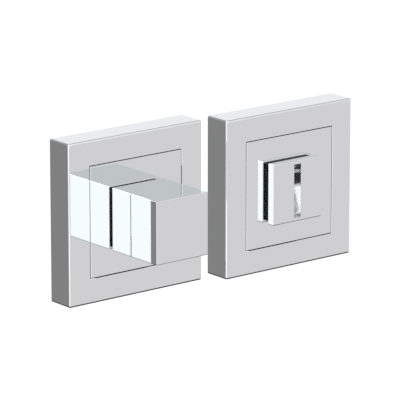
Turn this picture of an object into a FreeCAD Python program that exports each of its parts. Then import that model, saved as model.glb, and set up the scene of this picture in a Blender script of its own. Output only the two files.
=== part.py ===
# Square bathroom thumb turn and its emergency release, both halves side by side, in millimetres.
# The origin is the centre of the turn half's back, on its spindle axis. +Z is up, +X runs to the
# release half, which stands a little lower, and the visible faces look along -Y, so the door's
# surface is the plane y = 0.
import FreeCAD, Part
import math
import os

from FreeCAD import Vector

# Roses: a square trim frame round a square core, which shows flush in the frame's window
rose_side = 52.0
rose_depth = 9.5
rose_edge_radius = 0.6
frame_front_wall = 2.2
frame_side_wall = 1.8
cavity_corner_radius = 1.5
window_side = 36.0
seam_gap = 0.26
seam_edge_break = 0.06
halves_gap = 10.0
halves_drop = 1.9

# Pry notch in the frame's lower wall, for lifting the frame off
notch_width = 8.0
notch_depth = 0.9

# Mounting plates: pressed steel, screwed to the door at the four corners
plate_thickness = 1.6
plate_edge_gap = 0.2
plate_corner_radius = 1.5
fixing_inset = 4.0
fixing_hole_diameter = 4.0

# Spring tongues of the plate, whose ridges click into grooves in the frame's walls
tongue_width = 8.0
tongue_height = 6.3
tongue_wall_gap = 0.3
tongue_bend_radius = 0.8
tongue_relief = 1.0
ridge_radius = 0.6
ridge_rise = 0.5
ridge_length = 6.0
ridge_height = 5.0
groove_clearance = 0.1

# Core: a cast block with a bearing bore, a stop pocket and a hub that centres it in the plate
core_collar = 3.0
core_corner_cut = 4.0
hub_wall = 2.5
hub_recess = 0.2
hub_clearance = 0.05
pocket_floor = 4.0

# Core screws: four countersunk machine screws from the plate's back
core_screw_land = 1.17
core_screw_diameter = 3.0
core_screw_head = 5.5
core_screw_length = 6.0
core_screw_hole_depth = 7.1
cross_recess_span = 3.0
cross_recess_width = 0.6
cross_recess_depth = 0.9
thread_clearance = 0.05

# Neck, which carries either turning piece in its bush
neck_diameter = 14.0
neck_running_clearance = 0.05
neck_end = 1.2
neck_end_break = 0.3
neck_flat_depth = 0.7

# Bearing bush
bush_wall = 1.5
bush_press_clearance = 0.02
bush_front_recess = 0.1
bush_flange_lip = 0.45
bush_flange_thickness = 0.8

# Wave washer, stop washer and retaining ring, in this order behind the bush's flange
wave_neck_gap = 0.4
wave_width = 1.4
wave_thickness = 0.3
wave_rise = 0.18
wave_count = 3
wave_points = 16
washer_thickness = 0.8
washer_overhang = 1.9
washer_fit = 0.05
stack_gap = 0.06
ring_thickness = 0.9
ring_groove_depth = 0.8
ring_width = 1.75
ring_opening_deg = 60.0

# Quarter-turn stop: the stop washer's tab runs between two lugs in the core's pocket
tab_width = 4.0
tab_wall_gap = 0.25
lug_width = 3.5
lug_depth = 1.3
lug_washer_gap = 0.3
lug_clearance = 0.05

# Thumb knob
knob_side = 20.0
knob_front = 23.0
knob_gap = 0.8
knob_edge_radius = 0.2

# Release button with its coin slot
button_side = 20.0
button_front = 4.0
button_gap = 1.3
button_edge_radius = 0.25
slot_width = 2.8
slot_length = 17.6
slot_depth = 5.0
boss_diameter = 10.0
boss_length = 12.0

# Glide plates: square plastic spacers on the back of the knob and the button
glide_inset = 0.7
glide_clearance = 0.05
glide_corner_radius = 0.4
pip_diameter = 1.8
pip_length = 1.1
pip_offset = 7.2
pip_clearance = 0.04

# Spindle
spindle_side = 5.0
spindle_clearance = 0.05
spindle_front = 26.0
spindle_behind = 28.0
spindle_end_break = 0.6
socket_web = 1.3

# Grub screw in the knob's underside, which grips the spindle
grub_diameter = 4.0
grub_length = 6.0
grub_position = 20.0
grub_tip_gap = 0.03
grub_tip_break = 0.6
grub_key_size = 2.0
grub_key_depth = 2.2

# Places worked out from the sizes above
front = -rose_depth
halves_apart = rose_side + halves_gap
core_side = window_side - 2 * seam_gap
plate_side = rose_side - 2 * (frame_side_wall + plate_edge_gap)
fixing_spacing = plate_side - 2 * fixing_inset
neck_radius = neck_diameter / 2
neck_across_flats = neck_diameter - 2 * neck_flat_depth
bush_bore_radius = neck_radius + neck_running_clearance
bush_radius = bush_bore_radius + bush_wall
bush_flange_radius = bush_radius + bush_flange_lip
wave_inner_radius = neck_radius + wave_neck_gap
wave_outer_radius = wave_inner_radius + wave_width
washer_radius = neck_radius + washer_overhang
ring_groove_radius = neck_radius - ring_groove_depth
lug_inner_radius = washer_radius + lug_washer_gap
pocket_radius = lug_inner_radius + lug_depth
tab_reach = pocket_radius - tab_wall_gap
hub_radius = pocket_radius + hub_wall
core_screw_circle = hub_radius + hub_clearance + core_screw_land + core_screw_head / 2
core_screw_spacing = core_screw_circle * math.sqrt(2)
pocket_front = front + pocket_floor
flange_back = pocket_front + bush_flange_thickness
wave_middle = flange_back + stack_gap + wave_rise + wave_thickness / 2
washer_front = wave_middle + wave_thickness / 2 + wave_rise + stack_gap
washer_back = washer_front + washer_thickness
ring_front = washer_back + stack_gap
ring_back = ring_front + ring_thickness
ring_inner_radius = ring_groove_radius + washer_fit
ring_outer_radius = ring_inner_radius + ring_width
nearly_zero = 1e-6
cutter_margin = 1.0
across = Vector(1, 0, 0)
inwards = Vector(0, 1, 0)
upwards = Vector(0, 0, 1)


def box(x0, x1, y0, y1, z0, z1):
    return Part.makeBox(x1 - x0, y1 - y0, z1 - z0, Vector(x0, y0, z0))


def square_prism(side, y0, y1):
    half = side / 2
    return box(-half, half, y0, y1, -half, half)


def rod(radius, y0, y1, x=0.0, z=0.0):
    return Part.makeCylinder(radius, y1 - y0, Vector(x, y0, z), inwards)


def tube(outer, inner, y0, y1):
    return rod(outer, y0, y1).cut(rod(inner, y0, y1))


def edges_along(shape, direction):
    """The straight edges of a shape that run along one direction."""
    straight = [edge for edge in shape.Edges if isinstance(edge.Curve, Part.Line)]
    return [edge for edge in straight if edge.Curve.Direction.cross(direction).Length < nearly_zero]


def edges_in_plane(shape, y):
    """The edges of a shape that lie in the plane at one depth."""
    def is_at(edge):
        return abs(edge.BoundBox.YMin - y) < nearly_zero and abs(edge.BoundBox.YMax - y) < nearly_zero

    return [edge for edge in shape.Edges if is_at(edge)]


def turned(shape, degrees):
    copy = shape.copy()
    copy.rotate(Vector(0, 0, 0), inwards, degrees)
    return copy


def four_sides(shape):
    return [turned(shape, 90 * k) for k in range(4)]


def corners(spacing):
    half = spacing / 2
    return [(x, z) for x in (-half, half) for z in (-half, half)]


def squared_prism(side, y0, y1, corner_radius):
    prism = square_prism(side, y0, y1)
    return prism.makeFillet(corner_radius, edges_along(prism, inwards))


def ridge(radius, length):
    """The bar on a tongue's outer face, along Z on the +X side."""
    centre = rose_side / 2 - frame_side_wall - tongue_wall_gap + ridge_rise - ridge_radius
    start = Vector(centre, -ridge_height, -length / 2)
    return Part.makeCylinder(radius, length, start, upwards)


def rose_frame():
    """The visible trim frame: an open shell with a square window."""
    block = square_prism(rose_side, front, 0)
    outer_edges = edges_along(block, inwards) + edges_in_plane(block, front)
    block = block.makeFillet(rose_edge_radius, outer_edges)
    cavity_side = rose_side - 2 * frame_side_wall
    cavity = squared_prism(cavity_side, front + frame_front_wall, 0, cavity_corner_radius)
    window = square_prism(window_side, front, 0)
    grooves = four_sides(ridge(ridge_radius + groove_clearance, ridge_length + 2 * groove_clearance))
    half = rose_side / 2
    notch = box(-notch_width / 2, notch_width / 2, -notch_depth, 0, -half, -half + frame_side_wall)
    return block.cut([cavity, window, window_break(), notch] + grooves)


def window_break():
    """The small slope round the window's front edge, as a cutter."""
    wires = []
    for y, side in ((front, window_side + 2 * seam_edge_break), (front + seam_edge_break, window_side)):
        half = side / 2
        points = [Vector(x, y, z) for x, z in ((-half, -half), (half, -half), (half, half), (-half, half))]
        wires.append(Part.makePolygon(points + points[:1]))
    return Part.makeLoft(wires, True, True)


def tongue():
    """One spring tongue on the +X side, bent forwards out of the plate."""
    outer = rose_side / 2 - frame_side_wall - tongue_wall_gap
    inner = outer - plate_thickness
    outer_bend = tongue_bend_radius + plate_thickness
    centre_x = outer - outer_bend
    centre_y = -outer_bend
    root = centre_x - tongue_relief

    def on_bend(radius):
        diagonal = radius * math.sqrt(0.5)
        return Vector(centre_x + diagonal, centre_y + diagonal, 0)

    back, front_root = Vector(centre_x, 0, 0), Vector(centre_x, -plate_thickness, 0)
    outer_foot, outer_top = Vector(outer, centre_y, 0), Vector(outer, -tongue_height, 0)
    inner_foot, inner_top = Vector(inner, centre_y, 0), Vector(inner, -tongue_height, 0)
    back_root, front_end = Vector(root, 0, 0), Vector(root, -plate_thickness, 0)
    profile = Part.Wire([
        Part.makeLine(back_root, back),
        Part.Arc(back, on_bend(outer_bend), outer_foot).toShape(),
        Part.makeLine(outer_foot, outer_top),
        Part.makeLine(outer_top, inner_top),
        Part.makeLine(inner_top, inner_foot),
        Part.Arc(inner_foot, on_bend(tongue_bend_radius), front_root).toShape(),
        Part.makeLine(front_root, front_end),
        Part.makeLine(front_end, back_root),
    ])
    strip = Part.Face(profile).extrude(Vector(0, 0, tongue_width))
    strip.translate(Vector(0, 0, -tongue_width / 2))
    return strip.fuse(ridge(ridge_radius, ridge_length)), root


def mounting_plate():
    """The pressed plate behind the rose, with its four spring tongues."""
    sheet = squared_prism(plate_side, -plate_thickness, 0, plate_corner_radius)
    bent, root = tongue()
    half = tongue_width / 2 + tongue_relief
    gap = box(root, plate_side, -plate_thickness, 0, -half, half)
    centre_hole = rod(hub_radius + hub_clearance, -plate_thickness, 0)
    holes = [rod(fixing_hole_diameter / 2, -plate_thickness, 0, x, z) for x, z in corners(fixing_spacing)]
    sinks = [core_screw_form(x, z, thread_clearance) for x, z in corners(core_screw_spacing)]
    sheet = sheet.cut(four_sides(gap) + [centre_hole] + holes + sinks)
    return sheet.fuse(four_sides(bent)).removeSplitter()


def core_screw_form(x, z, clearance):
    """A countersunk screw's outline, grown by a clearance, with its head flush at the plate's back."""
    shank = core_screw_diameter / 2 + clearance
    head = core_screw_head / 2 + clearance
    cone_end = shank - head
    cone = Part.makeCone(head, shank, head - shank, Vector(x, 0, z), inwards * -1)
    return cone.fuse(rod(shank, -core_screw_length, cone_end, x, z))


def core_screws():
    """Four countersunk machine screws with cross recesses."""
    screws = []
    for x, z in corners(core_screw_spacing):
        screw = core_screw_form(x, z, 0)
        span, width = cross_recess_span / 2, cross_recess_width / 2
        bars = [box(x - span, x + span, -cross_recess_depth, 0, z - width, z + width),
                box(x - width, x + width, -cross_recess_depth, 0, z - span, z + span)]
        screws.append(screw.cut(bars))
    return Part.makeCompound(screws)


def core():
    """The cast core: flush square face, narrower foot, bearing bore, stop pocket and centring hub."""
    foot = square_prism(core_side, front + core_collar, -plate_thickness)
    foot = foot.makeChamfer(core_corner_cut, edges_along(foot, inwards))
    collar = square_prism(core_side, front, front + core_collar)
    collar = collar.makeChamfer(seam_edge_break, edges_in_plane(collar, front))
    hub = rod(hub_radius, -plate_thickness, -hub_recess)
    body = collar.fuse([foot, hub])
    bore = rod(bush_radius + bush_press_clearance, front, pocket_front)
    pocket = rod(pocket_radius, pocket_front, 0)
    tapped = [rod(core_screw_diameter / 2 + thread_clearance, -core_screw_hole_depth, 0, x, z)
              for x, z in corners(core_screw_spacing)]
    body = body.cut([bore, pocket] + tapped)
    return body.fuse(stop_lugs()).removeSplitter()


def stop_lugs():
    """The two lugs on the pocket's wall, one for each end of the quarter turn."""
    near = tab_width / 2 + lug_clearance
    far = near + lug_width
    outside = pocket_radius + cutter_margin
    ring = tube(outside, lug_inner_radius, pocket_front, washer_back)
    at_rest = box(near, far, pocket_front, washer_back, -outside, 0)
    at_quarter = box(-outside, 0, pocket_front, washer_back, near, far)
    return ring.common(at_rest.fuse(at_quarter))


def bearing_bush():
    """The flanged bush, pressed into the core from behind."""
    sleeve = rod(bush_radius, front + bush_front_recess, flange_back)
    flange = rod(bush_flange_radius, pocket_front, flange_back)
    return sleeve.fuse(flange).cut(rod(bush_bore_radius, front, flange_back)).removeSplitter()


def wave_curve(radius, offset):
    """A closed wavy edge round the spindle axis, offset along it."""
    steps = wave_points * wave_count
    points = []
    for k in range(steps):
        angle = 2 * math.pi * k / steps
        y = wave_middle + offset + wave_rise * math.sin(wave_count * angle)
        points.append(Vector(radius * math.cos(angle), y, radius * math.sin(angle)))
    curve = Part.BSplineCurve()
    curve.interpolate(Points=points, PeriodicFlag=True)
    return curve.toShape()


def wave_washer():
    """A thin ring of spring steel with three waves, which takes up the end play."""
    half = wave_thickness / 2
    inner_front = wave_curve(wave_inner_radius, -half)
    outer_front = wave_curve(wave_outer_radius, -half)
    inner_back = wave_curve(wave_inner_radius, half)
    outer_back = wave_curve(wave_outer_radius, half)
    faces = [
        Part.makeRuledSurface(inner_front, outer_front),
        Part.makeRuledSurface(inner_back, outer_back),
        Part.makeRuledSurface(inner_front, inner_back),
        Part.makeRuledSurface(outer_front, outer_back),
    ]
    shell = Part.Shell(faces)
    shell.sewShape()
    solid = Part.Solid(shell)
    if solid.Volume < 0:
        solid.reverse()
    return solid


def flatted(radius, across_flats, y0, y1):
    """A round bar with two flats, which face +X and -X."""
    half = across_flats / 2
    return rod(radius, y0, y1).common(box(-half, half, y0, y1, -radius, radius))


def neck(front_y):
    """The journal from a turning piece's back to the neck's end, with its flats and ring groove."""
    flats_front = washer_front - stack_gap / 2
    journal = rod(neck_radius, front_y, flats_front)
    end = flatted(neck_radius, neck_across_flats, flats_front, -neck_end)
    outside = neck_radius + cutter_margin
    groove = tube(outside, ring_groove_radius, ring_front - stack_gap / 2, ring_back + stack_gap / 2)
    return journal.fuse(end).cut(groove)


def stop_washer():
    """A keyed washer with one tab, which points down at rest."""
    disc = rod(washer_radius, washer_front, washer_back)
    tab = box(-tab_width / 2, tab_width / 2, washer_front, washer_back, -tab_reach, 0)
    tab = tab.common(rod(tab_reach, washer_front, washer_back))
    hole = flatted(neck_radius + washer_fit, neck_across_flats + 2 * washer_fit, washer_front, washer_back)
    return disc.fuse(tab).cut(hole).removeSplitter()


def retaining_ring():
    """An open snap ring in the neck's groove, with rounded ends."""
    middle = ring_inner_radius + ring_width / 2
    ring = tube(ring_outer_radius, ring_inner_radius, ring_front, ring_back)
    half = math.radians(ring_opening_deg / 2)
    reach = 2 * ring_outer_radius
    corner_x, corner_z = reach * math.cos(half), reach * math.sin(half)
    wedge = Part.makePolygon([Vector(0, ring_front, 0), Vector(corner_x, ring_front, -corner_z),
                              Vector(corner_x, ring_front, corner_z), Vector(0, ring_front, 0)])
    opening = Part.Face(wedge).extrude(inwards * ring_thickness)
    ends = [rod(ring_width / 2, ring_front, ring_back, middle * math.cos(a), middle * math.sin(a))
            for a in (-half, half)]
    return ring.cut(opening).fuse(ends).removeSplitter()


def pip_places():
    return [(-pip_offset, -pip_offset), (pip_offset, pip_offset)]


def pip_holes(back_y):
    deep = pip_length + pip_clearance
    return [rod(pip_diameter / 2 + pip_clearance, back_y - deep, back_y, x, z) for x, z in pip_places()]


def glide_plate(side, gap):
    """The square plastic spacer behind the knob or the button, keyed to it by two pips."""
    glide_front = front - gap
    plate = squared_prism(side - 2 * glide_inset, glide_front, front - glide_clearance, glide_corner_radius)
    pips = [rod(pip_diameter / 2, glide_front - pip_length, glide_front, x, z) for x, z in pip_places()]
    hole = rod(neck_radius + neck_running_clearance, glide_front, front)
    return plate.fuse(pips).cut(hole).removeSplitter()


def turn_knob():
    """The square thumb knob with its neck, spindle bore and grub screw hole."""
    block_back = front - knob_gap
    block = square_prism(knob_side, front - knob_front, block_back)
    block = block.makeFillet(knob_edge_radius, block.Edges)
    bore = square_prism(spindle_side + 2 * spindle_clearance, -spindle_front - spindle_clearance, 0)
    hole_radius = grub_diameter / 2 + thread_clearance
    hole = Part.makeCylinder(hole_radius, knob_side / 2, Vector(0, -grub_position, -knob_side / 2), upwards)
    body = block.fuse(neck(block_back))
    return body.cut([bore, hole] + pip_holes(block_back)).removeSplitter()


def turn_spindle():
    """The square steel bar that works the lock case, with chamfered ends."""
    bar = square_prism(spindle_side, -spindle_front, spindle_behind)
    ends = edges_in_plane(bar, -spindle_front) + edges_in_plane(bar, spindle_behind)
    return bar.makeChamfer(spindle_end_break, ends)


def turn_spindle_screw():
    """The grub screw: a plain rod for its thread, a pointed tip and a hexagon socket."""
    tip = -spindle_side / 2 - grub_tip_gap
    tail = tip - grub_length
    radius = grub_diameter / 2
    screw = Part.makeCylinder(radius, grub_length, Vector(0, -grub_position, tail), upwards)
    tip_edge = [edge for edge in screw.Edges if abs(edge.BoundBox.ZMin - tip) < nearly_zero]
    screw = screw.makeChamfer(grub_tip_break, tip_edge)
    key_radius = grub_key_size / math.sqrt(3)
    points = [Vector(key_radius * math.cos(math.radians(60 * k)),
                     -grub_position + key_radius * math.sin(math.radians(60 * k)), tail)
              for k in range(7)]
    key = Part.Face(Part.makePolygon(points)).extrude(upwards * grub_key_depth)
    return screw.cut(key)


def coin_slot():
    """A disc-shaped cutter, which leaves an upright slot with an arched floor."""
    radius = ((slot_length / 2) ** 2 + slot_depth ** 2) / (2 * slot_depth)
    slot_floor = front - button_front + slot_depth
    centre = Vector(-slot_width / 2, slot_floor - radius, 0)
    return Part.makeCylinder(radius, slot_width, centre, across), slot_floor


def release_button():
    """The square button with its coin slot, neck and the boss that takes the spindle's end."""
    plate_back = front - button_gap
    plate = square_prism(button_side, front - button_front, plate_back)
    plate = plate.makeFillet(button_edge_radius, plate.Edges)
    boss = rod(boss_diameter / 2, -neck_end, boss_length)
    boss = boss.makeChamfer(neck_end_break, edges_in_plane(boss, boss_length))
    slot, slot_floor = coin_slot()
    socket = square_prism(spindle_side + 2 * spindle_clearance, slot_floor + socket_web, boss_length)
    body = plate.fuse([neck(plate_back), boss])
    return body.cut([slot, socket] + pip_holes(plate_back)).removeSplitter()


def shared_pieces():
    """The pieces that both halves have alike."""
    return {
        "rose_frame": rose_frame(),
        "core": core(),
        "mounting_plate": mounting_plate(),
        "core_screws": core_screws(),
        "bearing_bush": bearing_bush(),
        "wave_washer": wave_washer(),
        "stop_washer": stop_washer(),
        "retaining_ring": retaining_ring(),
    }


def pieces():
    turn = shared_pieces()
    turn["knob"] = turn_knob()
    turn["glide_plate"] = glide_plate(knob_side, knob_gap)
    turn["spindle"] = turn_spindle()
    turn["spindle_screw"] = turn_spindle_screw()
    release = shared_pieces()
    release["button"] = release_button()
    release["glide_plate"] = glide_plate(button_side, button_gap)
    named = {"turn_" + name: shape for name, shape in turn.items()}
    for name, shape in release.items():
        shape.translate(Vector(halves_apart, 0, -halves_drop))
        named["release_" + name] = shape
    return named


def main():
    os.makedirs("parts", exist_ok=True)
    for name, shape in pieces().items():
        assert shape.isValid(), name
        shape.exportStep("parts/" + name + ".step")
        print(name, len(shape.Solids), round(shape.Volume, 2))


main()
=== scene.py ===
"""Finishes, screws and studio for the square bathroom thumb turn lock and its emergency release."""
import math

import bmesh
import bpy
from bpy.props import FloatProperty, FloatVectorProperty, IntProperty, PointerProperty
from mathutils import Matrix, Vector


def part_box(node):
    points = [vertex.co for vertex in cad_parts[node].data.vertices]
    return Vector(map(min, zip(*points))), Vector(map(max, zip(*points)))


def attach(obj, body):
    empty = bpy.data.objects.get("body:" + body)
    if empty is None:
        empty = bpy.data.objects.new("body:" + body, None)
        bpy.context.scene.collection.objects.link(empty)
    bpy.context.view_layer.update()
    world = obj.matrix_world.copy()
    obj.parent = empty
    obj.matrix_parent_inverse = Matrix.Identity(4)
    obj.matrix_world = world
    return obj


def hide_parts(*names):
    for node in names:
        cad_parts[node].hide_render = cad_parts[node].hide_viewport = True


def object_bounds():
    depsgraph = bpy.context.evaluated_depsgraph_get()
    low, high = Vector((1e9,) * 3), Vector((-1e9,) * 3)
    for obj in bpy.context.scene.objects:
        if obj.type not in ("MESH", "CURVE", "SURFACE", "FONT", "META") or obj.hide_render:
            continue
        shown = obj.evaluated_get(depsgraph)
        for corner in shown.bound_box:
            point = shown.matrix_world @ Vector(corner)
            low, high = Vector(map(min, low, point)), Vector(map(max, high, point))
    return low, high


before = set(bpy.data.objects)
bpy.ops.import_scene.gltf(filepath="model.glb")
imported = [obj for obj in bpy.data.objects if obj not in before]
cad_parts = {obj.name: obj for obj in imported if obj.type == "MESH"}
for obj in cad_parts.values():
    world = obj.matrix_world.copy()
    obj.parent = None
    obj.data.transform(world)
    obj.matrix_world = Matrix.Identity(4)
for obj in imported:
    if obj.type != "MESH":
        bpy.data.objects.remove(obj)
cad_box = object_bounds()

bl_info = {
    "name": "Bathroom Thumb Turn Lock",
    "version": (1, 0, 0),
    "blender": (4, 5, 0),
    "location": "3D View > Sidebar > Thumb Turn",
    "description": "Finishes the pieces of a square thumb turn and its emergency release",
    "category": "Object",
}

MM = 0.001
MICRON = 0.000001
SURFACE_MARGIN = 20 * MICRON
FULL_TURN = 2 * math.pi
SHARP_EDGE = math.radians(28)
INTO_DOOR = Vector((0, 1, 0))
UP = Vector((0, 0, 1))

# The patches of light that mirror surfaces see, each laid over those before it: what it is, its colour,
# and in degrees its azimuth from the front and its elevation, and where it starts and ends fading
LIGHT_PATCHES = {
    "ceiling": ("grey ceiling above and behind", (0.34, 0.36, 0.37), (180, 62), (40, 54)),
    "flag": ("dark screen at the back left", (0.24, 0.24, 0.24), (-142, -13), (16, 40)),
    "back": ("light at the back right", (0.89, 0.91, 0.925), (142, 11), (14, 40)),
    "top": ("large light above the front", (1.05, 1.06, 1.06), (0, 46), (34, 43)),
    "fill": ("small light at the front right", (0.9, 0.92, 0.93), (38, -2), (6, 9)),
    "side": ("cool grey wall at the front right", (0.628, 0.665, 0.674), (36.9, 14.5), (1.5, 3.2)),
    "key": ("light at the front left", (1.15, 1.205, 1.195), (-39, -14.5), (5, 8)),
    "wing": ("bright light to the left of the key", (1.7, 1.75, 1.76), (-55, -14), (6, 9)),
    "crest": ("bright light above the key", (2.4, 2.42, 2.43), (-41, 1), (12, 15)),
    "crown": ("large bright light above the crest", (2.4, 2.42, 2.43), (-46, 38), (26, 30)),
    "ground": ("dark ground below", (0.06, 0.06, 0.065), (0, -90), (67.5, 72)),
}


# Sizes and colours

class LockFinishes(bpy.types.PropertyGroup):
    """The colours and surface textures of the four finishes."""
    chrome_colour: FloatVectorProperty(
        name="Chrome Colour", description="Reflected colour of the polished chrome",
        default=(0.895, 0.9, 0.905), min=0, max=1, size=3, subtype="COLOR")
    chrome_sharpest: FloatProperty(
        name="Chrome Sharpest", description="Roughness where the polish is best",
        default=0.012, min=0, max=1, subtype="FACTOR")
    chrome_haziest: FloatProperty(
        name="Chrome Haziest", description="Roughness where the buffing left a faint haze",
        default=0.045, min=0, max=1, subtype="FACTOR")
    chrome_haze_size: FloatProperty(
        name="Chrome Haze Size", description="Width of the hazy patches",
        default=6 * MM, min=0.1 * MM, unit="LENGTH", precision=5)
    chrome_wave_size: FloatProperty(
        name="Chrome Wave Size", description="Width of the slight waves that polishing leaves",
        default=5 * MM, min=0.1 * MM, unit="LENGTH", precision=5)
    chrome_wave_height: FloatProperty(
        name="Chrome Wave Height", description="Height of the slight waves that polishing leaves",
        default=0.8 * MICRON, min=0, unit="LENGTH", precision=6)
    slot_size: FloatVectorProperty(
        name="Slot Size", description="Width, depth and length of the milled coin slot",
        default=(2.8 * MM, 5.0 * MM, 17.6 * MM), size=3, unit="LENGTH", precision=4)
    slot_colour: FloatVectorProperty(
        name="Slot Colour", description="Reflected colour of the thinner plate in the coin slot",
        default=(0.8, 0.805, 0.81), min=0, max=1, size=3, subtype="COLOR")
    slot_roughness: FloatProperty(
        name="Slot Roughness", description="Roughness of the slot, which is plated but not buffed",
        default=0.1, min=0, max=1, subtype="FACTOR")
    # The casting colour is the dull plate's own grey, set darker so that the seams round the cores read
    # darker: partly painted shade
    casting_grey_and_seam_shade: FloatVectorProperty(
        name="Casting Colour", description="Colour of the thin dull plate inside the roses",
        default=(0.30, 0.305, 0.31), min=0, max=1, size=3, subtype="COLOR")
    casting_roughness: FloatProperty(
        name="Casting Roughness", description="Roughness of the cast surfaces inside the roses",
        default=0.5, min=0, max=1, subtype="FACTOR")
    casting_grain_size: FloatProperty(
        name="Casting Grain Size", description="Width of the grain of the cast surfaces",
        default=0.5 * MM, min=0.01 * MM, unit="LENGTH", precision=5)
    casting_grain_height: FloatProperty(
        name="Casting Grain Height", description="Height of the grain of the cast surfaces",
        default=12 * MICRON, min=0, unit="LENGTH", precision=6)
    polish_reach: FloatVectorProperty(
        name="Polish Reach", description="Depth of the polish in from the roses' sides and faces",
        default=(0.9 * MM, 0.1 * MM), size=2, unit="LENGTH", precision=5)
    zinc_colour: FloatVectorProperty(
        name="Zinc Colour", description="Main colour of the zinc plate",
        default=(0.60, 0.61, 0.62), min=0, max=1, size=3, subtype="COLOR")
    zinc_tint: FloatVectorProperty(
        name="Zinc Tint", description="Colour of the faint passivated clouds in the zinc plate",
        default=(0.56, 0.60, 0.66), min=0, max=1, size=3, subtype="COLOR")
    zinc_roughness: FloatVectorProperty(
        name="Zinc Roughness", description="Lowest and highest roughness of the zinc plate",
        default=(0.24, 0.38), min=0, max=1, size=2, subtype="NONE")
    zinc_cloud_size: FloatProperty(
        name="Zinc Cloud Size", description="Width of the passivated clouds",
        default=9 * MM, min=0.1 * MM, unit="LENGTH", precision=5)
    rolling_line_width: FloatProperty(
        name="Rolling Line Width", description="Width of the fine lines of the rolled sheet and drawn bar",
        default=0.25 * MM, min=0.01 * MM, unit="LENGTH", precision=5)
    rolling_line_stretch: FloatProperty(
        name="Rolling Line Stretch", description="How many times longer than wide the rolled lines are",
        default=60, min=1, subtype="NONE")
    rolling_line_height: FloatProperty(
        name="Rolling Line Height", description="Height of the fine lines of the sheet and bar",
        default=2 * MICRON, min=0, unit="LENGTH", precision=6)
    spring_colour: FloatVectorProperty(
        name="Spring Steel Colour", description="Main colour of the tempered steel",
        default=(0.26, 0.265, 0.28), min=0, max=1, size=3, subtype="COLOR")
    spring_temper: FloatVectorProperty(
        name="Spring Steel Temper", description="Colour of the brown temper patches",
        default=(0.25, 0.20, 0.16), min=0, max=1, size=3, subtype="COLOR")
    spring_patch_size: FloatProperty(
        name="Spring Steel Patch Size", description="Width of the brown temper patches",
        default=3 * MM, min=0.1 * MM, unit="LENGTH", precision=5)
    spring_patch_strength: FloatProperty(
        name="Spring Steel Patch Strength", description="Share of the temper colour in its patches",
        default=0.8, min=0, max=1, subtype="FACTOR")
    spring_roughness: FloatVectorProperty(
        name="Spring Steel Roughness", description="Lowest and highest roughness of the oiled steel",
        default=(0.24, 0.44), min=0, max=1, size=2, subtype="NONE")
    spring_smear_size: FloatProperty(
        name="Spring Steel Smear Size", description="Width of the oil smears",
        default=1.2 * MM, min=0.1 * MM, unit="LENGTH", precision=5)
    spring_smear_height: FloatProperty(
        name="Spring Steel Smear Height", description="Height of the oil smears",
        default=3 * MICRON, min=0, unit="LENGTH", precision=6)
    # The acetal colour is the black of the plastic, and on the glide plates it also stands for the shade in
    # the gaps behind the knob and the button: partly painted shade
    acetal_black_and_gap_shade: FloatVectorProperty(
        name="Acetal Colour", description="Colour of the black moulded plastic",
        default=(0.007, 0.007, 0.0075), min=0, max=1, size=3, subtype="COLOR")
    acetal_roughness: FloatVectorProperty(
        name="Acetal Roughness", description="Lowest and highest roughness of the moulded plastic",
        default=(0.36, 0.48), min=0, max=1, size=2, subtype="NONE")
    acetal_flow_size: FloatProperty(
        name="Acetal Flow Size", description="Width of the flow marks in the plastic's gloss",
        default=4 * MM, min=0.1 * MM, unit="LENGTH", precision=5)
    acetal_gloss: FloatProperty(
        name="Acetal Gloss", description="Strength of the moulded plastic's mirror share",
        default=0.1, min=0, max=1, subtype="FACTOR")
    acetal_grain_size: FloatProperty(
        name="Acetal Grain Size", description="Width of the moulded grain",
        default=0.18 * MM, min=0.01 * MM, unit="LENGTH", precision=5)
    acetal_grain_height: FloatProperty(
        name="Acetal Grain Height", description="Height of the moulded grain",
        default=4 * MICRON, min=0, unit="LENGTH", precision=6)


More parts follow.
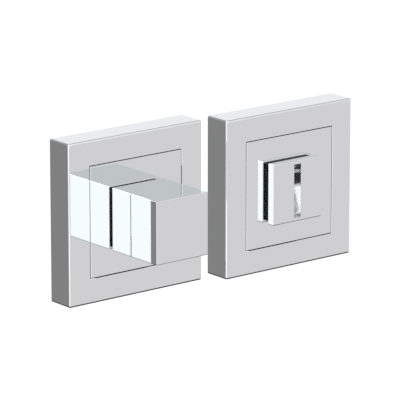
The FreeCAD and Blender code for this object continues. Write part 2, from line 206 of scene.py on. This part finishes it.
class LockScrews(bpy.types.PropertyGroup):
    """The sizes of the threads, heads and sockets that the screws are cut to."""
    core_pitch: FloatProperty(
        name="Core Screw Pitch", description="Rise of the core screws' thread in one turn",
        default=0.5 * MM, min=0.1 * MM, unit="LENGTH", precision=5)
    core_thread_depth: FloatProperty(
        name="Core Screw Thread Depth", description="Depth of the core screws' thread",
        default=0.27 * MM, min=0.01 * MM, unit="LENGTH", precision=5)
    core_shank_radius: FloatProperty(
        name="Core Screw Radius", description="Outer radius of the core screws' thread",
        default=1.5 * MM, min=0.5 * MM, unit="LENGTH", precision=5)
    core_head_radius: FloatProperty(
        name="Core Screw Head Radius", description="Radius of the countersunk heads",
        default=2.75 * MM, min=0.5 * MM, unit="LENGTH", precision=5)
    core_head_edge: FloatProperty(
        name="Core Screw Head Edge", description="Width of the broken edge round the countersunk heads",
        default=0.12 * MM, min=0.01 * MM, unit="LENGTH", precision=5)
    cross_span: FloatProperty(
        name="Cross Recess Span", description="Width of the cross recess at the screw's head",
        default=3.0 * MM, min=0.5 * MM, unit="LENGTH", precision=5)
    cross_slot: FloatProperty(
        name="Cross Recess Slot", description="Width of each arm of the cross recess",
        default=0.62 * MM, min=0.1 * MM, unit="LENGTH", precision=5)
    cross_depth: FloatProperty(
        name="Cross Recess Depth", description="Depth of the cross recess",
        default=1.4 * MM, min=0.1 * MM, unit="LENGTH", precision=5)
    cross_taper: FloatVectorProperty(
        name="Cross Recess Taper", description="Shares of the recess's span and slot left at its tip",
        default=(0.35, 0.6), min=0.01, max=1, size=2, subtype="NONE")
    cross_turn: FloatProperty(
        name="Cross Recess Turn", description="Turn of the cross recess against the start of the thread",
        default=math.radians(20), unit="ROTATION")
    grub_pitch: FloatProperty(
        name="Grub Screw Pitch", description="Rise of the grub screw's thread in one turn",
        default=0.7 * MM, min=0.1 * MM, unit="LENGTH", precision=5)
    grub_thread_depth: FloatProperty(
        name="Grub Screw Thread Depth", description="Depth of the grub screw's thread",
        default=0.38 * MM, min=0.01 * MM, unit="LENGTH", precision=5)
    grub_socket: FloatProperty(
        name="Grub Screw Socket", description="Width of the hexagon socket across its flats",
        default=2.0 * MM, min=0.5 * MM, unit="LENGTH", precision=5)
    grub_socket_depth: FloatProperty(
        name="Grub Screw Socket Depth", description="Depth of the hexagon socket",
        default=2.2 * MM, min=0.5 * MM, unit="LENGTH", precision=5)
    grub_point_depth: FloatProperty(
        name="Grub Screw Point Depth", description="Height of the cone point",
        default=0.6 * MM, min=0.01 * MM, unit="LENGTH", precision=5)
    steps_per_turn: IntProperty(
        name="Steps per Turn", description="Facets in one turn of a thread",
        default=40, min=12, max=96)


class LockStudio(bpy.types.PropertyGroup):
    """The studio round the lock: floor, background, soft light patches and camera."""
    background: FloatVectorProperty(
        name="Background", description="Colour of the view behind and of the light on matt pieces",
        default=(1.0, 1.0, 1.0), min=0, max=4, size=3, subtype="COLOR")
    surround: FloatVectorProperty(
        name="Surround", description="Colour of the walls that the metal mirrors",
        default=(0.697, 0.693, 0.704), min=0, max=4, size=3, subtype="COLOR")
    floor_colour: FloatVectorProperty(
        name="Floor Colour", description="Colour of the floor",
        default=(0.86, 0.86, 0.86), min=0, max=1, size=3, subtype="COLOR")
    floor_lift: FloatProperty(
        name="Floor Lift", description="Light added to the floor so that it reads as white",
        default=0.22, min=0, max=1, subtype="FACTOR")
    floor_drop: FloatProperty(
        name="Floor Drop", description="Height of the hanging lock above the floor",
        default=80 * MM, min=0, unit="LENGTH", precision=4)
    floor_side: FloatProperty(
        name="Floor Side", description="Length of the floor's side",
        default=40.0, min=1, unit="LENGTH")
    mirror_bounces: IntProperty(
        name="Mirror Bounces", description="How often light may bounce from mirror to mirror",
        default=8, min=1, max=64)
    camera_azimuth: FloatProperty(
        name="Camera Azimuth", description="Turn of the camera's view from straight on to the door",
        default=math.radians(38.66), unit="ROTATION")
    camera_tilt: FloatProperty(
        name="Camera Tilt", description="Angle at which the camera looks down",
        default=math.radians(14.63), unit="ROTATION")
    camera_distance: FloatProperty(
        name="Camera Distance", description="Distance from the camera to the turn half's face",
        default=1.10222, min=0.1, unit="LENGTH", precision=4)
    aim_right: FloatProperty(
        name="Aim Right", description="How far to the right of the turn half's centre the camera aims",
        default=19.73 * MM, unit="LENGTH", precision=5)
    aim_up: FloatProperty(
        name="Aim Up", description="How far above the turn half's centre the camera aims",
        default=4.19 * MM, unit="LENGTH", precision=5)
    camera_lens: FloatProperty(
        name="Camera Lens", description="Focal length of the camera, in millimetres",
        default=319.8, min=10, subtype="NONE")


def patch_properties(part, what, colour, direction, fade):
    """The properties of one patch of light, with its angles turned from degrees into radians."""
    label = part.title()
    return {
        part + "_colour": FloatVectorProperty(
            name=label + " Colour", description="Colour of the " + what,
            default=colour, min=0, max=8, size=3, subtype="COLOR"),
        part + "_direction": FloatVectorProperty(
            name=label + " Direction", description="Azimuth from the front and elevation of the " + what,
            default=[math.radians(angle) for angle in direction], size=2, unit="ROTATION"),
        part + "_fade": FloatVectorProperty(
            name=label + " Fade", description="Angles at which the " + what + " starts and ends fading",
            default=[math.radians(angle) for angle in fade], size=2, unit="ROTATION"),
    }


for part, settings in LIGHT_PATCHES.items():
    LockStudio.__annotations__.update(patch_properties(part, *settings))


# Material nodes

def add_node(tree, kind, inputs=None, **settings):
    """Adds a shader node with its settings, and sets or links its inputs."""
    made = tree.nodes.new(kind)
    for name, value in settings.items():
        setattr(made, name, value)
    for key, value in (inputs or {}).items():
        if isinstance(value, bpy.types.NodeSocket):
            tree.links.new(value, made.inputs[key])
        else:
            made.inputs[key].default_value = value
    return made


def new_material(name):
    """An empty node material with the piece's own coordinates and a shader that is linked up."""
    material = bpy.data.materials.new(name)
    material.use_nodes = True
    tree = material.node_tree
    tree.nodes.clear()
    place = add_node(tree, "ShaderNodeTexCoord").outputs["Object"]
    shader = add_node(tree, "ShaderNodeBsdfPrincipled")
    add_node(tree, "ShaderNodeOutputMaterial", {"Surface": shader.outputs["BSDF"]})
    return material, tree, place, shader


def noise(tree, place, width, detail=2.0, stretch=(1, 1, 1)):
    """A soft noise whose patches are about as wide as given, drawn out by the stretch."""
    scale = [1 / (width * share) for share in stretch]
    mapping = add_node(tree, "ShaderNodeMapping", {"Vector": place, "Scale": scale})
    pattern = add_node(tree, "ShaderNodeTexNoise",
                       {"Vector": mapping.outputs["Vector"], "Scale": 1.0, "Detail": detail})
    return pattern.outputs["Fac"]


def spread(tree, value, low, high, start=0.35, end=0.65):
    """Takes the middle of a pattern to the range between two values."""
    inputs = {"Value": value, "From Min": start, "From Max": end, "To Min": low, "To Max": high}
    return add_node(tree, "ShaderNodeMapRange", inputs).outputs["Result"]


def bump(tree, shader, height, distance, strength=1.0):
    """Raises the surface by a pattern, on top of the patterns that raise it already."""
    inputs = {"Height": height, "Distance": distance, "Strength": strength}
    normal = shader.inputs["Normal"]
    if normal.is_linked:
        inputs["Normal"] = normal.links[0].from_socket
    made = add_node(tree, "ShaderNodeBump", inputs)
    tree.links.new(made.outputs["Normal"], normal)


def opaque(colour):
    """The colour with the fourth channel that nodes want."""
    return (*colour, 1.0)


def inside_box(tree, place, low, high):
    """1 inside the box between two corners, else 0."""
    away = add_node(tree, "ShaderNodeVectorMath", {0: place, 1: (low + high) / 2}, operation="SUBTRACT")
    size = add_node(tree, "ShaderNodeVectorMath", {0: away.outputs["Vector"]}, operation="ABSOLUTE")
    parts = add_node(tree, "ShaderNodeSeparateXYZ", {"Vector": size.outputs["Vector"]})
    inside = 1.0
    for axis, reach in zip("XYZ", (high - low) / 2):
        near = add_node(tree, "ShaderNodeMath", {0: parts.outputs[axis], 1: reach}, operation="LESS_THAN")
        both = add_node(tree, "ShaderNodeMath", {0: near.outputs["Value"], 1: inside}, operation="MULTIPLY")
        inside = both.outputs["Value"]
    return inside


def inside_slot(tree, place, finishes):
    """1 on the walls and the floor of the coin slot, else 0."""
    low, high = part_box("release_button")
    width, depth, length = finishes.slot_size
    middle = Vector(((low.x + high.x) / 2, low.y + depth / 2, (low.z + high.z) / 2))
    reach = Vector((width / 2 + SURFACE_MARGIN, depth / 2 - SURFACE_MARGIN, length / 2 + SURFACE_MARGIN))
    return inside_box(tree, place, middle - reach, middle + reach)


def inside_roses(tree, place, finishes):
    """1 on the surfaces inside the two roses, in their seams too, where the casting grey is partly painted
    shade; else 0.
    """
    side, behind = finishes.polish_reach
    inside = 0.0
    for half in both_halves("rose_frame"):
        low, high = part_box(half)
        near, far = low + Vector((side, behind, side)), high + Vector((-side, side, -side))
        here = inside_box(tree, place, near, far)
        either = add_node(tree, "ShaderNodeMath", {0: here, 1: inside}, operation="MAXIMUM")
        inside = either.outputs["Value"]
    return inside


def buffed(tree, place, shader, finishes):
    """Makes the shader a metal with the slight waves of buffing, and gives its hazy roughness."""
    shader.inputs["Metallic"].default_value = 1.0
    waves = noise(tree, place, finishes.chrome_wave_size, detail=1.0)
    bump(tree, shader, waves, finishes.chrome_wave_height)
    haze = noise(tree, place, finishes.chrome_haze_size, detail=3.0)
    return spread(tree, haze, finishes.chrome_sharpest, finishes.chrome_haziest)


def polished_chrome(finishes):
    """Mirror chrome all over, with a coin slot that is a little duller and greyer."""
    material, tree, place, shader = new_material("polished_chrome")
    inside = inside_slot(tree, place, finishes)
    colour = add_node(tree, "ShaderNodeMix", {
        "Factor": inside, "A": opaque(finishes.chrome_colour), "B": opaque(finishes.slot_colour)},
        data_type="RGBA")
    tree.links.new(colour.outputs["Result"], shader.inputs["Base Color"])
    roughness = add_node(tree, "ShaderNodeMix", {
        "Factor": inside, "A": buffed(tree, place, shader, finishes), "B": finishes.slot_roughness})
    tree.links.new(roughness.outputs["Result"], shader.inputs["Roughness"])
    return material


def chromed_casting(finishes):
    """Mirror chrome outside, and a thin dull plate on the grainy casting inside, whose darker grey is partly
    painted shade in the seams.
    """
    material, tree, place, shader = new_material("chromed_casting")
    inside = inside_roses(tree, place, finishes)
    # The darker grey inside the roses is partly painted shade in the seams
    colour = add_node(tree, "ShaderNodeMix", {
        "Factor": inside, "A": opaque(finishes.chrome_colour), "B": opaque(finishes.casting_grey_and_seam_shade)},
        data_type="RGBA")
    tree.links.new(colour.outputs["Result"], shader.inputs["Base Color"])
    roughness = add_node(tree, "ShaderNodeMix", {
        "Factor": inside, "A": buffed(tree, place, shader, finishes), "B": finishes.casting_roughness})
    tree.links.new(roughness.outputs["Result"], shader.inputs["Roughness"])
    grain = noise(tree, place, finishes.casting_grain_size, detail=3.0)
    bump(tree, shader, grain, finishes.casting_grain_height, strength=inside)
    return material


def zinc_plate(finishes):
    """Bright zinc plate: faint blue clouds and the fine lines of the rolled steel below it."""
    material, tree, place, shader = new_material("zinc_plate")
    shader.inputs["Metallic"].default_value = 1.0
    clouds = noise(tree, place, finishes.zinc_cloud_size, detail=4.0)
    colour = add_node(tree, "ShaderNodeMix", {
        "Factor": spread(tree, clouds, 0.0, 1.0),
        "A": opaque(finishes.zinc_colour), "B": opaque(finishes.zinc_tint)}, data_type="RGBA")
    tree.links.new(colour.outputs["Result"], shader.inputs["Base Color"])
    stretch = finishes.rolling_line_stretch
    lines = noise(tree, place, finishes.rolling_line_width, detail=2.0, stretch=(stretch, stretch, 1))
    tree.links.new(spread(tree, lines, *finishes.zinc_roughness), shader.inputs["Roughness"])
    bump(tree, shader, lines, finishes.rolling_line_height)
    return material


def tempered_steel(finishes):
    """Dark oiled spring steel with brown temper patches."""
    material, tree, place, shader = new_material("tempered_steel")
    shader.inputs["Metallic"].default_value = 1.0
    patches = noise(tree, place, finishes.spring_patch_size, detail=3.0)
    colour = add_node(tree, "ShaderNodeMix", {
        "Factor": spread(tree, patches, 0.0, finishes.spring_patch_strength),
        "A": opaque(finishes.spring_colour), "B": opaque(finishes.spring_temper)}, data_type="RGBA")
    tree.links.new(colour.outputs["Result"], shader.inputs["Base Color"])
    smears = noise(tree, place, finishes.spring_smear_size, detail=4.0)
    tree.links.new(spread(tree, smears, *finishes.spring_roughness), shader.inputs["Roughness"])
    bump(tree, shader, smears, finishes.spring_smear_height)
    return material


def moulded_acetal(finishes):
    """Black plastic with a fine moulded grain and a slight flow in its gloss; its black on the glide plates
    is partly painted shade in the gaps behind the knob and the button.
    """
    material, tree, place, shader = new_material("moulded_acetal")
    # Black that is partly painted shade in the gaps behind the knob and the button
    shader.inputs["Base Color"].default_value = opaque(finishes.acetal_black_and_gap_shade)
    shader.inputs["Specular IOR Level"].default_value = finishes.acetal_gloss
    flow = noise(tree, place, finishes.acetal_flow_size, detail=2.0)
    tree.links.new(spread(tree, flow, *finishes.acetal_roughness), shader.inputs["Roughness"])
    grain = noise(tree, place, finishes.acetal_grain_size, detail=1.0)
    bump(tree, shader, grain, finishes.acetal_grain_height)
    return material


def finish_of(name):
    """The material of that name, made on first use."""
    makers = {
        "polished_chrome": polished_chrome,
        "chromed_casting": chromed_casting,
        "zinc_plate": zinc_plate,
        "tempered_steel": tempered_steel,
        "moulded_acetal": moulded_acetal,
    }
    found = bpy.data.materials.get(name)
    return found or makers[name](bpy.context.scene.lock_finishes)


def both_halves(*pieces):
    """The node names of the pieces, for the turn half and then for the release half."""
    return [half + piece for half in ("turn_", "release_") for piece in pieces]


def dress(nodes, finish):
    """Gives CAD nodes a finish."""
    for name in nodes:
        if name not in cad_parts:
            raise RuntimeError("the frame has no node named " + name)
        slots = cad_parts[name].data.materials
        slots.clear()
        slots.append(finish_of(finish))


# Mesh helpers

def outward(direction):
    """A turn that takes the upward axis to a direction."""
    return UP.rotation_difference(direction).to_matrix().to_4x4()


def new_piece(name, mesh_form, finish, body):
    """Makes an object of a bmesh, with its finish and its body."""
    mesh = bpy.data.meshes.new(name)
    mesh_form.to_mesh(mesh)
    mesh_form.free()
    piece = bpy.data.objects.new(name, mesh)
    bpy.context.scene.collection.objects.link(piece)
    mesh.materials.append(finish_of(finish))
    mesh.shade_smooth()
    mesh.set_sharp_from_angle(angle=SHARP_EDGE)
    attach(piece, body)
    return piece


def close_openings(form):
    """Fills the open ends that a cut has left."""
    rim = [edge for edge in form.edges if edge.is_boundary]
    bmesh.ops.holes_fill(form, edges=rim)


def cut_off(form, place, direction):
    """Removes what lies beyond a plane, where its direction points, and closes the cut."""
    everything = form.verts[:] + form.edges[:] + form.faces[:]
    bmesh.ops.bisect_plane(form, geom=everything, plane_co=place, plane_no=direction, clear_outer=True)
    close_openings(form)


def threaded_rod(radius, depth, pitch, length, steps):
    """A rod along +Z from 0 to its length, with a helical thread: a toothed edge, spun with a rise.

    The thread has the usual flats: an eighth of the pitch at its crest and a quarter at its root.
    """
    form = bmesh.new()
    root = radius - depth
    crest, land = pitch / 8, pitch / 4
    flank = (pitch - crest - land) / 2
    teeth = math.ceil(length / pitch) + 2
    chain = []
    for k in range(teeth):
        start = (k - 1) * pitch
        for x, z in ((root, start), (root, start + land),
                     (radius, start + land + flank), (radius, start + land + flank + crest)):
            chain.append(form.verts.new((x, 0, z)))
    edges = [form.edges.new(pair) for pair in zip(chain, chain[1:])]
    bmesh.ops.spin(form, geom=chain + edges, cent=(0, 0, 0), axis=UP, dvec=UP * (pitch / steps),
                   angle=FULL_TURN, steps=steps, use_merge=False)
    bmesh.ops.remove_doubles(form, verts=form.verts, dist=pitch / 1000)
    cut_off(form, Vector((0, 0, length)), UP)
    cut_off(form, Vector((0, 0, 0)), -UP)
    bmesh.ops.recalc_face_normals(form, faces=form.faces)
    return form


def join_form(form, other, move):
    """Adds another bmesh, moved to its place."""
    scratch = bpy.data.meshes.new("scratch")
    other.to_mesh(scratch)
    other.free()
    scratch.transform(move)
    form.from_mesh(scratch)
    bpy.data.meshes.remove(scratch)


def carved(form, cutter, operation="DIFFERENCE"):
    """The form cut by another one, or joined to it, as a new bmesh; both are freed."""
    objects = []
    for part in (form, cutter):
        mesh = bpy.data.meshes.new("scratch")
        part.to_mesh(mesh)
        part.free()
        holder = bpy.data.objects.new("scratch", mesh)
        bpy.context.scene.collection.objects.link(holder)
        objects.append(holder)
    modifier = objects[0].modifiers.new("Carve", "BOOLEAN")
    modifier.operation = operation
    modifier.solver = "EXACT"
    modifier.object = objects[1]
    scene_graph = bpy.context.evaluated_depsgraph_get()
    result = bmesh.new()
    evaluated = objects[0].evaluated_get(scene_graph)
    result.from_mesh(evaluated.to_mesh())
    evaluated.to_mesh_clear()
    bmesh.ops.remove_doubles(result, verts=result.verts, dist=MICRON / 10)
    for holder in objects:
        mesh = holder.data
        bpy.data.objects.remove(holder)
        bpy.data.meshes.remove(mesh)
    if not result.faces:
        raise RuntimeError("a " + operation.lower() + " of two forms left nothing")
    return result


# Screws

def recess_arm(screws, turn):
    """The cutter for one arm of a cross recess: a wedge along +Z that narrows towards its tip."""
    form = bmesh.new()
    made = bmesh.ops.create_cube(form, size=1.0)["verts"]
    bmesh.ops.scale(form, verts=made, vec=(screws.cross_span, screws.cross_slot, 2 * screws.cross_depth))
    tip = [vert for vert in made if vert.co.z > 0]
    bmesh.ops.scale(form, verts=tip, vec=(*screws.cross_taper, 1.0))
    bmesh.ops.rotate(form, verts=made, cent=(0, 0, 0), matrix=Matrix.Rotation(turn, 3, "Z"))
    return form


def screw_head(screws):
    """A countersunk head along +Z: a face with a broken edge, a cone, and a neck into the thread."""
    radius, edge = screws.core_head_radius, screws.core_head_edge
    neck = screws.core_shank_radius - screws.core_thread_depth / 2
    cone_end = radius - screws.core_shank_radius
    neck_end = cone_end + screws.core_pitch
    outline = [(0, 0), (radius - edge, 0), (radius, edge), (neck, cone_end), (neck, neck_end), (0, neck_end)]
    form = bmesh.new()
    points = [form.verts.new((x, 0, z)) for x, z in outline]
    edges = [form.edges.new(pair) for pair in zip(points, points[1:])]
    bmesh.ops.spin(form, geom=points + edges, cent=(0, 0, 0), axis=UP, dvec=(0, 0, 0),
                   angle=FULL_TURN, steps=screws.steps_per_turn, use_merge=True)
    bmesh.ops.remove_doubles(form, verts=form.verts, dist=MICRON)
    bmesh.ops.recalc_face_normals(form, faces=form.faces)
    return form


def core_screw(screws, length):
    """One countersunk machine screw along +Z, with its head's face at 0."""
    thread_start = screws.core_head_radius - screws.core_shank_radius
    thread = threaded_rod(screws.core_shank_radius, screws.core_thread_depth, screws.core_pitch,
                          length - thread_start, screws.steps_per_turn)
    bmesh.ops.translate(thread, verts=thread.verts, vec=(0, 0, thread_start))
    form = carved(screw_head(screws), thread, "UNION")
    for turn in (screws.cross_turn, screws.cross_turn + math.pi / 2):
        form = carved(form, recess_arm(screws, turn))
    return form


def screw_places(node, radius):
    """The middles of the four heads of that radius at the corners of a node's box, and the length."""
    low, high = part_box(node)
    xs = (low.x + radius, high.x - radius)
    zs = (low.z + radius, high.z - radius)
    return [Vector((x, high.y, z)) for x in xs for z in zs], high.y - low.y


def spindle_screw(screws, radius, length):
    """The grub screw along +Z: its socket's face at 0, a thread and a cone point of 45 degrees."""
    steps, point = screws.steps_per_turn, screws.grub_point_depth
    form = threaded_rod(radius, screws.grub_thread_depth, screws.grub_pitch, length, steps)
    cone = bmesh.new()
    bmesh.ops.create_cone(cone, cap_ends=True, segments=steps, radius1=radius + length,
                          radius2=radius - 2 * point, depth=length + 2 * point,
                          matrix=Matrix.Translation((0, 0, length / 2)))
    form = carved(form, cone, "INTERSECT")
    socket = bmesh.new()
    across_corners = screws.grub_socket / math.sqrt(3)
    bmesh.ops.create_cone(socket, cap_ends=True, segments=6, radius1=across_corners, radius2=across_corners,
                          depth=2 * screws.grub_socket_depth)
    return carved(form, socket)


# Operators

class LOCK_OT_rose_frames(bpy.types.Operator):
    """Give the two square trim frames their mirror chrome"""
    bl_idname = "lock.rose_frames"
    bl_label = "Rose Frames"

    def execute(self, context):
        dress(both_halves("rose_frame"), "chromed_casting")
        return {"FINISHED"}


class LOCK_OT_cores(bpy.types.Operator):
    """Give the two cast cores, flush in the frames' windows, their mirror chrome"""
    bl_idname = "lock.cores"
    bl_label = "Cores"

    def execute(self, context):
        dress(both_halves("core"), "chromed_casting")
        return {"FINISHED"}


class LOCK_OT_thumb_knob(bpy.types.Operator):
    """Give the square thumb knob its mirror chrome"""
    bl_idname = "lock.thumb_knob"
    bl_label = "Thumb Knob"

    def execute(self, context):
        dress(["turn_knob"], "polished_chrome")
        return {"FINISHED"}


class LOCK_OT_release_button(bpy.types.Operator):
    """Give the release button and its coin slot their mirror chrome"""
    bl_idname = "lock.release_button"
    bl_label = "Release Button"

    def execute(self, context):
        dress(["release_button"], "polished_chrome")
        return {"FINISHED"}


class LOCK_OT_plastic_pieces(bpy.types.Operator):
    """Give the glide plates and bearing bushes their black plastic, which on the glide plates is partly
    painted shade in the gaps behind the knob and the button
    """
    bl_idname = "lock.plastic_pieces"
    bl_label = "Glide Plates and Bushes"

    def execute(self, context):
        dress(both_halves("glide_plate", "bearing_bush"), "moulded_acetal")
        return {"FINISHED"}


class LOCK_OT_mounting_plates(bpy.types.Operator):
    """Give the pressed mounting plates their zinc plate"""
    bl_idname = "lock.mounting_plates"
    bl_label = "Mounting Plates"

    def execute(self, context):
        dress(both_halves("mounting_plate"), "zinc_plate")
        return {"FINISHED"}


class LOCK_OT_stop_stack(bpy.types.Operator):
    """Give the wave washers, stop washers and retaining rings their tempered steel"""
    bl_idname = "lock.stop_stack"
    bl_label = "Washers and Rings"

    def execute(self, context):
        dress(both_halves("wave_washer", "stop_washer", "retaining_ring"), "tempered_steel")
        return {"FINISHED"}


class LOCK_OT_spindle(bpy.types.Operator):
    """Give the square spindle its zinc plate"""
    bl_idname = "lock.spindle"
    bl_label = "Spindle"

    def execute(self, context):
        dress(["turn_spindle"], "zinc_plate")
        return {"FINISHED"}


class LOCK_OT_core_screws(bpy.types.Operator):
    """Turn the eight countersunk screws that hold the cores, with real threads and cross recesses"""
    bl_idname = "lock.core_screws"
    bl_label = "Core Screws"

    def execute(self, context):
        screws = context.scene.lock_screws
        for node in both_halves("core_screws"):
            places, length = screw_places(node, screws.core_head_radius)
            form = bmesh.new()
            for place in places:
                join_form(form, core_screw(screws, length), Matrix.Translation(place) @ outward(-INTO_DOOR))
            piece = new_piece(node + "_threaded", form, "zinc_plate", "roses")
            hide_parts(node)
        return {"FINISHED"}


class LOCK_OT_spindle_screw(bpy.types.Operator):
    """Turn the grub screw that grips the spindle, with a real thread, a cone point and a hexagon socket"""
    bl_idname = "lock.spindle_screw"
    bl_label = "Spindle Screw"

    def execute(self, context):
        low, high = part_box("turn_spindle_screw")
        middle = (low + high) / 2
        form = spindle_screw(context.scene.lock_screws, (high.x - low.x) / 2, high.z - low.z)
        bmesh.ops.translate(form, verts=form.verts, vec=(middle.x, middle.y, low.z))
        piece = new_piece("turn_spindle_screw_threaded", form, "tempered_steel", "thumb_turn")
        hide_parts("turn_spindle_screw")
        return {"FINISHED"}


class LOCK_OT_studio(bpy.types.Operator):
    """Set up the pale floor, the soft light and the camera"""
    bl_idname = "lock.studio"
    bl_label = "Studio"

    def execute(self, context):
        studio = context.scene.lock_studio
        context.scene.view_settings.view_transform = "Standard"
        context.scene.cycles.glossy_bounces = studio.mirror_bounces
        studio_floor(studio)
        studio_light(context.scene, studio)
        context.scene.camera = studio_camera(context.scene, studio)
        return {"FINISHED"}


# Studio

def floor_material(studio):
    """Matt floor that takes the lock's shadow, reads as white and doesn't show from below."""
    material = bpy.data.materials.new("studio_floor")
    material.use_nodes = True
    tree = material.node_tree
    tree.nodes.clear()
    matt = add_node(tree, "ShaderNodeBsdfDiffuse", {"Color": opaque(studio.floor_colour)})
    seen = add_node(tree, "ShaderNodeLightPath").outputs["Is Camera Ray"]
    strength = add_node(tree, "ShaderNodeMath", {0: seen, 1: studio.floor_lift}, operation="MULTIPLY")
    glow = add_node(tree, "ShaderNodeEmission", {
        "Color": opaque(studio.background), "Strength": strength.outputs["Value"]})
    both = add_node(tree, "ShaderNodeAddShader", {0: matt.outputs["BSDF"], 1: glow.outputs["Emission"]})
    below = add_node(tree, "ShaderNodeNewGeometry").outputs["Backfacing"]
    nothing = add_node(tree, "ShaderNodeBsdfTransparent")
    one_sided = add_node(tree, "ShaderNodeMixShader", {
        0: below, 1: both.outputs["Shader"], 2: nothing.outputs["BSDF"]})
    add_node(tree, "ShaderNodeOutputMaterial", {"Surface": one_sided.outputs["Shader"]})
    return material


def studio_floor(studio):
    """The floor, some way below the hanging lock, which mirror surfaces don't see."""
    form = bmesh.new()
    height = cad_box[0].z - studio.floor_drop
    bmesh.ops.create_grid(form, x_segments=1, y_segments=1, size=studio.floor_side / 2,
                          matrix=Matrix.Translation((0, 0, height)))
    mesh = bpy.data.meshes.new("studio_floor")
    form.to_mesh(mesh)
    form.free()
    floor = bpy.data.objects.new("studio_floor", mesh)
    bpy.context.scene.collection.objects.link(floor)
    mesh.materials.append(floor_material(studio))
    floor.visible_glossy = False


def compass(direction):
    """The unit vector of an azimuth from the front, positive to the right, and an elevation."""
    azimuth, elevation = direction
    level = math.cos(elevation)
    return Vector((math.sin(azimuth) * level, -math.cos(azimuth) * level, math.sin(elevation)))


def light_patch(tree, place, below, colour, direction, fade):
    """The light below with a soft round patch of light laid over it."""
    towards = add_node(tree, "ShaderNodeVectorMath", {0: place, 1: compass(direction)},
                       operation="DOT_PRODUCT")
    inside = add_node(tree, "ShaderNodeMapRange", {
        "Value": towards.outputs["Value"], "From Min": math.cos(fade[1]), "From Max": math.cos(fade[0])},
        interpolation_type="SMOOTHSTEP")
    mixed = add_node(tree, "ShaderNodeMix", {
        "Factor": inside.outputs["Result"], "A": below, "B": opaque(colour)}, data_type="RGBA")
    return mixed.outputs["Result"]


def studio_light(scene, studio):
    """Grey walls with patches of light for the mirror surfaces, and plain white light for the rest."""
    world = bpy.data.worlds.new("studio")
    scene.world = world
    world.use_nodes = True
    tree = world.node_tree
    tree.nodes.clear()
    place = add_node(tree, "ShaderNodeTexCoord").outputs["Generated"]
    light = opaque(studio.surround)
    for part in LIGHT_PATCHES:
        light = light_patch(tree, place, light, getattr(studio, part + "_colour"),
                            getattr(studio, part + "_direction"), getattr(studio, part + "_fade"))
    surround = add_node(tree, "ShaderNodeBackground", {"Color": light})
    view = add_node(tree, "ShaderNodeBackground", {"Color": opaque(studio.background)})
    mirrored = add_node(tree, "ShaderNodeLightPath").outputs["Is Glossy Ray"]
    both = add_node(tree, "ShaderNodeMixShader", {
        0: mirrored, 1: view.outputs["Background"], 2: surround.outputs["Background"]})
    add_node(tree, "ShaderNodeOutputWorld", {"Surface": both.outputs["Shader"]})


def studio_camera(scene, studio):
    """The camera, to the left of the lock and a little above it, on a long lens."""
    turn, tilt = studio.camera_azimuth, studio.camera_tilt
    level = Vector((math.sin(turn), math.cos(turn), 0))
    right = Vector((math.cos(turn), -math.sin(turn), 0))
    ahead = level * math.cos(tilt) - UP * math.sin(tilt)
    above = UP * math.cos(tilt) + level * math.sin(tilt)
    low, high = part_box("turn_rose_frame")
    face = Vector(((low.x + high.x) / 2, low.y, (low.z + high.z) / 2))
    data = bpy.data.cameras.new("studio_camera")
    data.lens = studio.camera_lens
    camera = bpy.data.objects.new("studio_camera", data)
    scene.collection.objects.link(camera)
    aim = face + right * studio.aim_right + above * studio.aim_up
    camera.location = aim - ahead * studio.camera_distance
    camera.rotation_euler = ahead.to_track_quat("-Z", "Y").to_euler()
    return camera


# Panel and registration

GROUPS = (LockFinishes, LockScrews, LockStudio)
OPERATORS = (
    LOCK_OT_rose_frames, LOCK_OT_cores, LOCK_OT_thumb_knob, LOCK_OT_release_button, LOCK_OT_plastic_pieces,
    LOCK_OT_mounting_plates, LOCK_OT_stop_stack, LOCK_OT_spindle, LOCK_OT_core_screws,
    LOCK_OT_spindle_screw, LOCK_OT_studio,
)


class LOCK_PT_thumb_turn(bpy.types.Panel):
    """Lists the lock's pieces and their sizes and colours"""
    bl_idname = "LOCK_PT_thumb_turn"
    bl_label = "Thumb Turn Lock"
    bl_space_type = "VIEW_3D"
    bl_region_type = "UI"
    bl_category = "Thumb Turn"

    def draw(self, context):
        for operator in OPERATORS:
            self.layout.operator(operator.bl_idname)
        for group in ("lock_finishes", "lock_screws", "lock_studio"):
            settings = getattr(context.scene, group)
            box = self.layout.box()
            for name in settings.bl_rna.properties.keys():
                if name not in ("rna_type", "name"):
                    box.prop(settings, name)


def register():
    for kind in GROUPS + OPERATORS + (LOCK_PT_thumb_turn,):
        bpy.utils.register_class(kind)
    bpy.types.Scene.lock_finishes = PointerProperty(type=LockFinishes)
    bpy.types.Scene.lock_screws = PointerProperty(type=LockScrews)
    bpy.types.Scene.lock_studio = PointerProperty(type=LockStudio)


def unregister():
    del bpy.types.Scene.lock_studio
    del bpy.types.Scene.lock_screws
    del bpy.types.Scene.lock_finishes
    for kind in reversed(GROUPS + OPERATORS + (LOCK_PT_thumb_turn,)):
        bpy.utils.unregister_class(kind)


def main():
    register()
    bpy.ops.lock.rose_frames()
    bpy.ops.lock.cores()
    bpy.ops.lock.thumb_knob()
    bpy.ops.lock.release_button()
    bpy.ops.lock.plastic_pieces()
    bpy.ops.lock.mounting_plates()
    bpy.ops.lock.stop_stack()
    bpy.ops.lock.spindle()
    bpy.ops.lock.core_screws()
    bpy.ops.lock.spindle_screw()
    bpy.ops.lock.studio()


if __name__ == "__main__":
    main()
